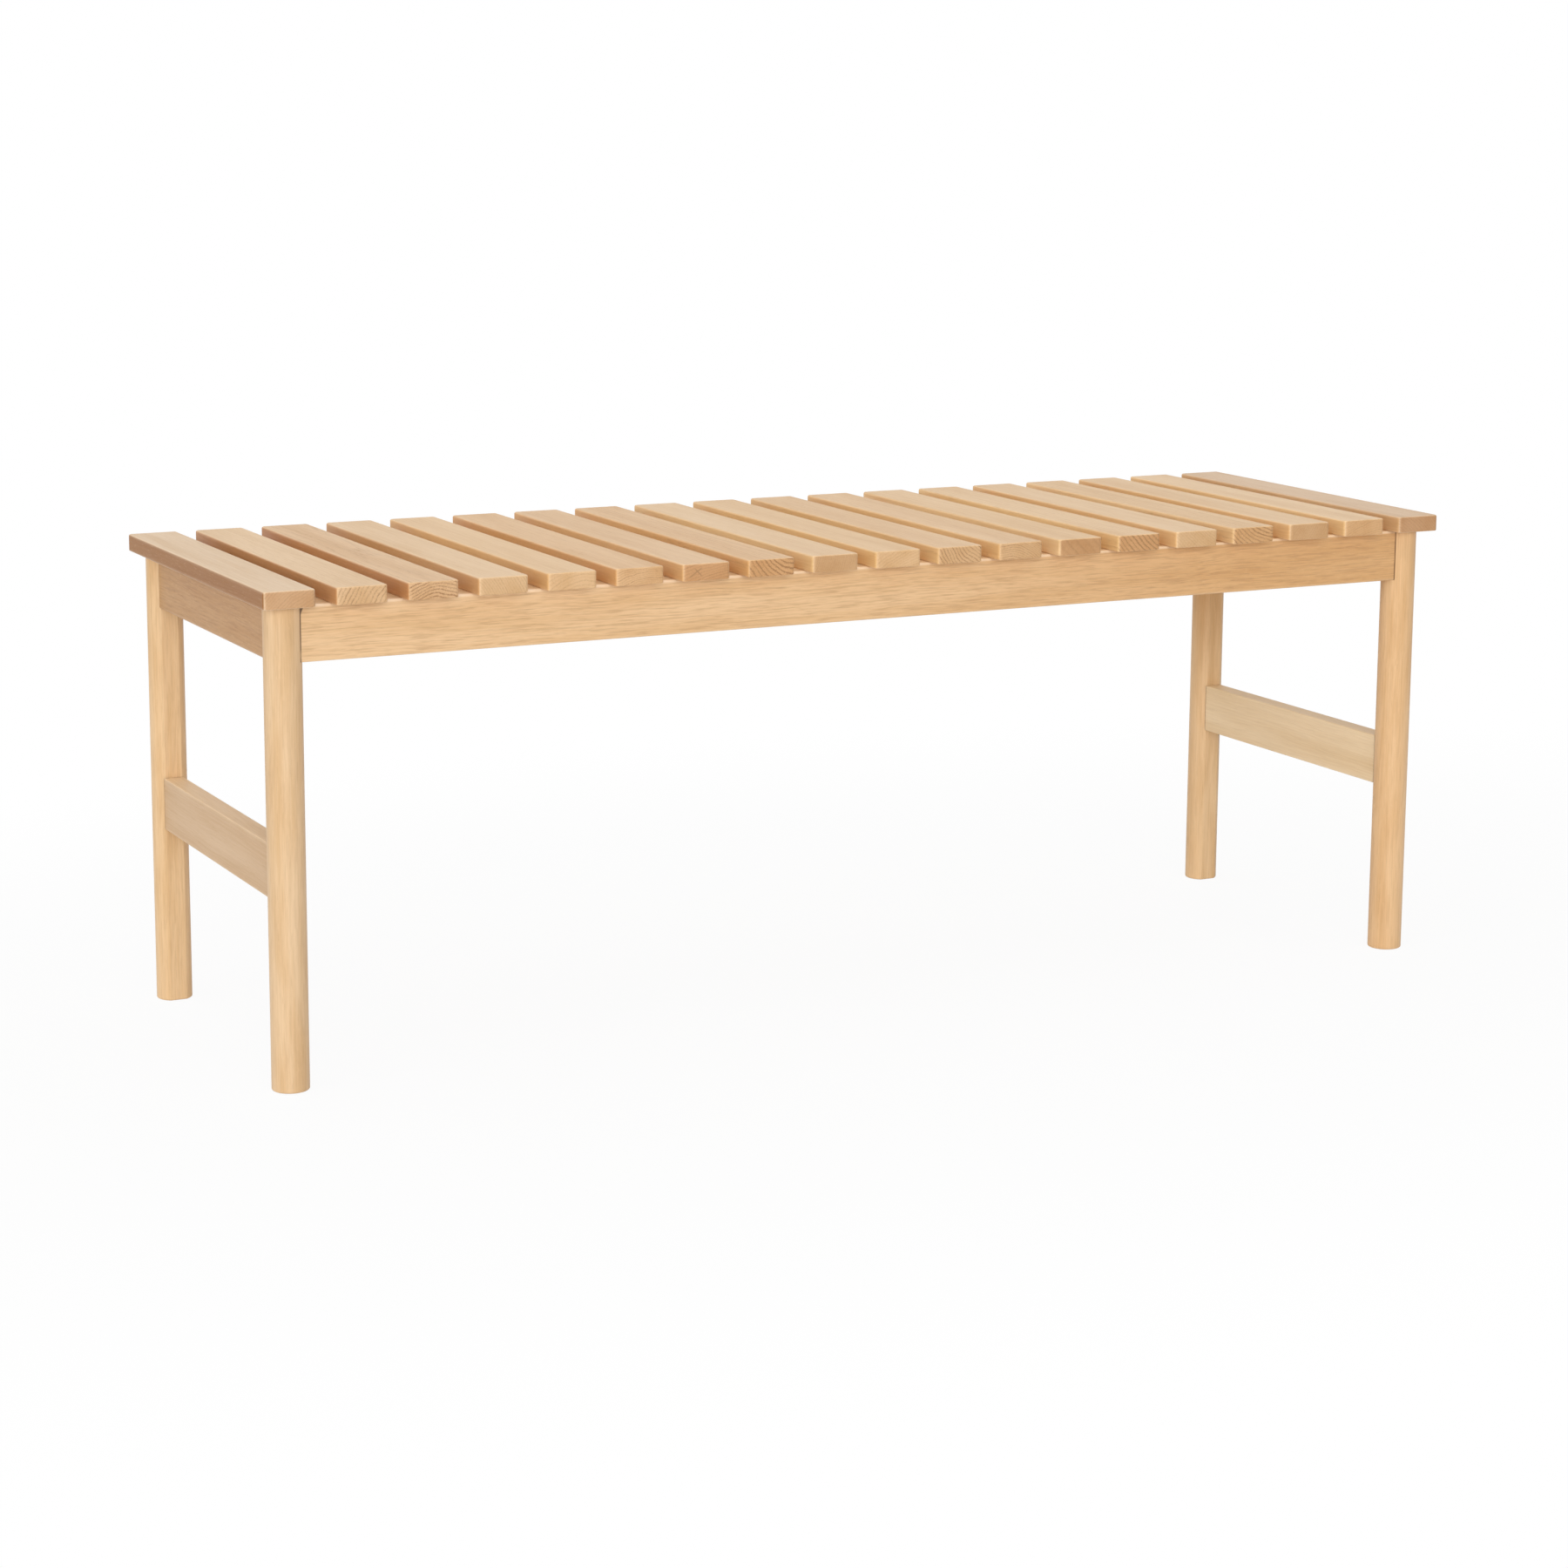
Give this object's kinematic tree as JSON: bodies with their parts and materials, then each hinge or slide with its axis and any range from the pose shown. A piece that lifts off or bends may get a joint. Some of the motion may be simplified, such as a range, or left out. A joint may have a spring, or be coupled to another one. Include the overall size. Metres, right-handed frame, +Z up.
{
  "type": "slatted bench",
  "caption": "Backless indoor bench: spaced wooden slats laid across a rail frame on round legs, with a low stretcher at each end.",
  "frame": {"origin": "on the floor, under the middle of the seat", "axes": "+X along the bench, +Y from front to back, +Z up"},
  "size_m": [1.2, 0.39, 0.438],
  "materials": {
    "oak_slats": "clear matt lacquered pale oak",
    "oak_frame": "clear matt lacquered pale oak",
    "beech_dowels": "bare fluted beech, hidden in the joints"
  },
  "bodies": {
    "root": {"slat_01": "oak_slats", "slat_02": "oak_slats", "slat_03": "oak_slats", "slat_04": "oak_slats", "slat_05": "oak_slats", "slat_06": "oak_slats", "slat_07": "oak_slats", "slat_08": "oak_slats", "slat_09": "oak_slats", "slat_10": "oak_slats", "slat_11": "oak_slats", "slat_12": "oak_slats", "slat_13": "oak_slats", "slat_14": "oak_slats", "slat_15": "oak_slats", "slat_16": "oak_slats", "slat_17": "oak_slats", "slat_18": "oak_slats", "slat_19": "oak_slats", "leg_front_left": "oak_frame", "leg_front_right": "oak_frame", "leg_back_left": "oak_frame", "leg_back_right": "oak_frame", "rail_front": "oak_frame", "rail_back": "oak_frame", "end_rail_left": "oak_frame", "end_rail_right": "oak_frame", "stretcher_left": "oak_frame", "stretcher_right": "oak_frame", "seat_batten_front": "oak_frame", "seat_batten_back": "oak_frame", "slat_dowels_front": "beech_dowels", "slat_dowels_back": "beech_dowels", "end_slat_dowels": "beech_dowels", "batten_dowels_front": "beech_dowels", "batten_dowels_back": "beech_dowels"}
  },
  "joints": []
}
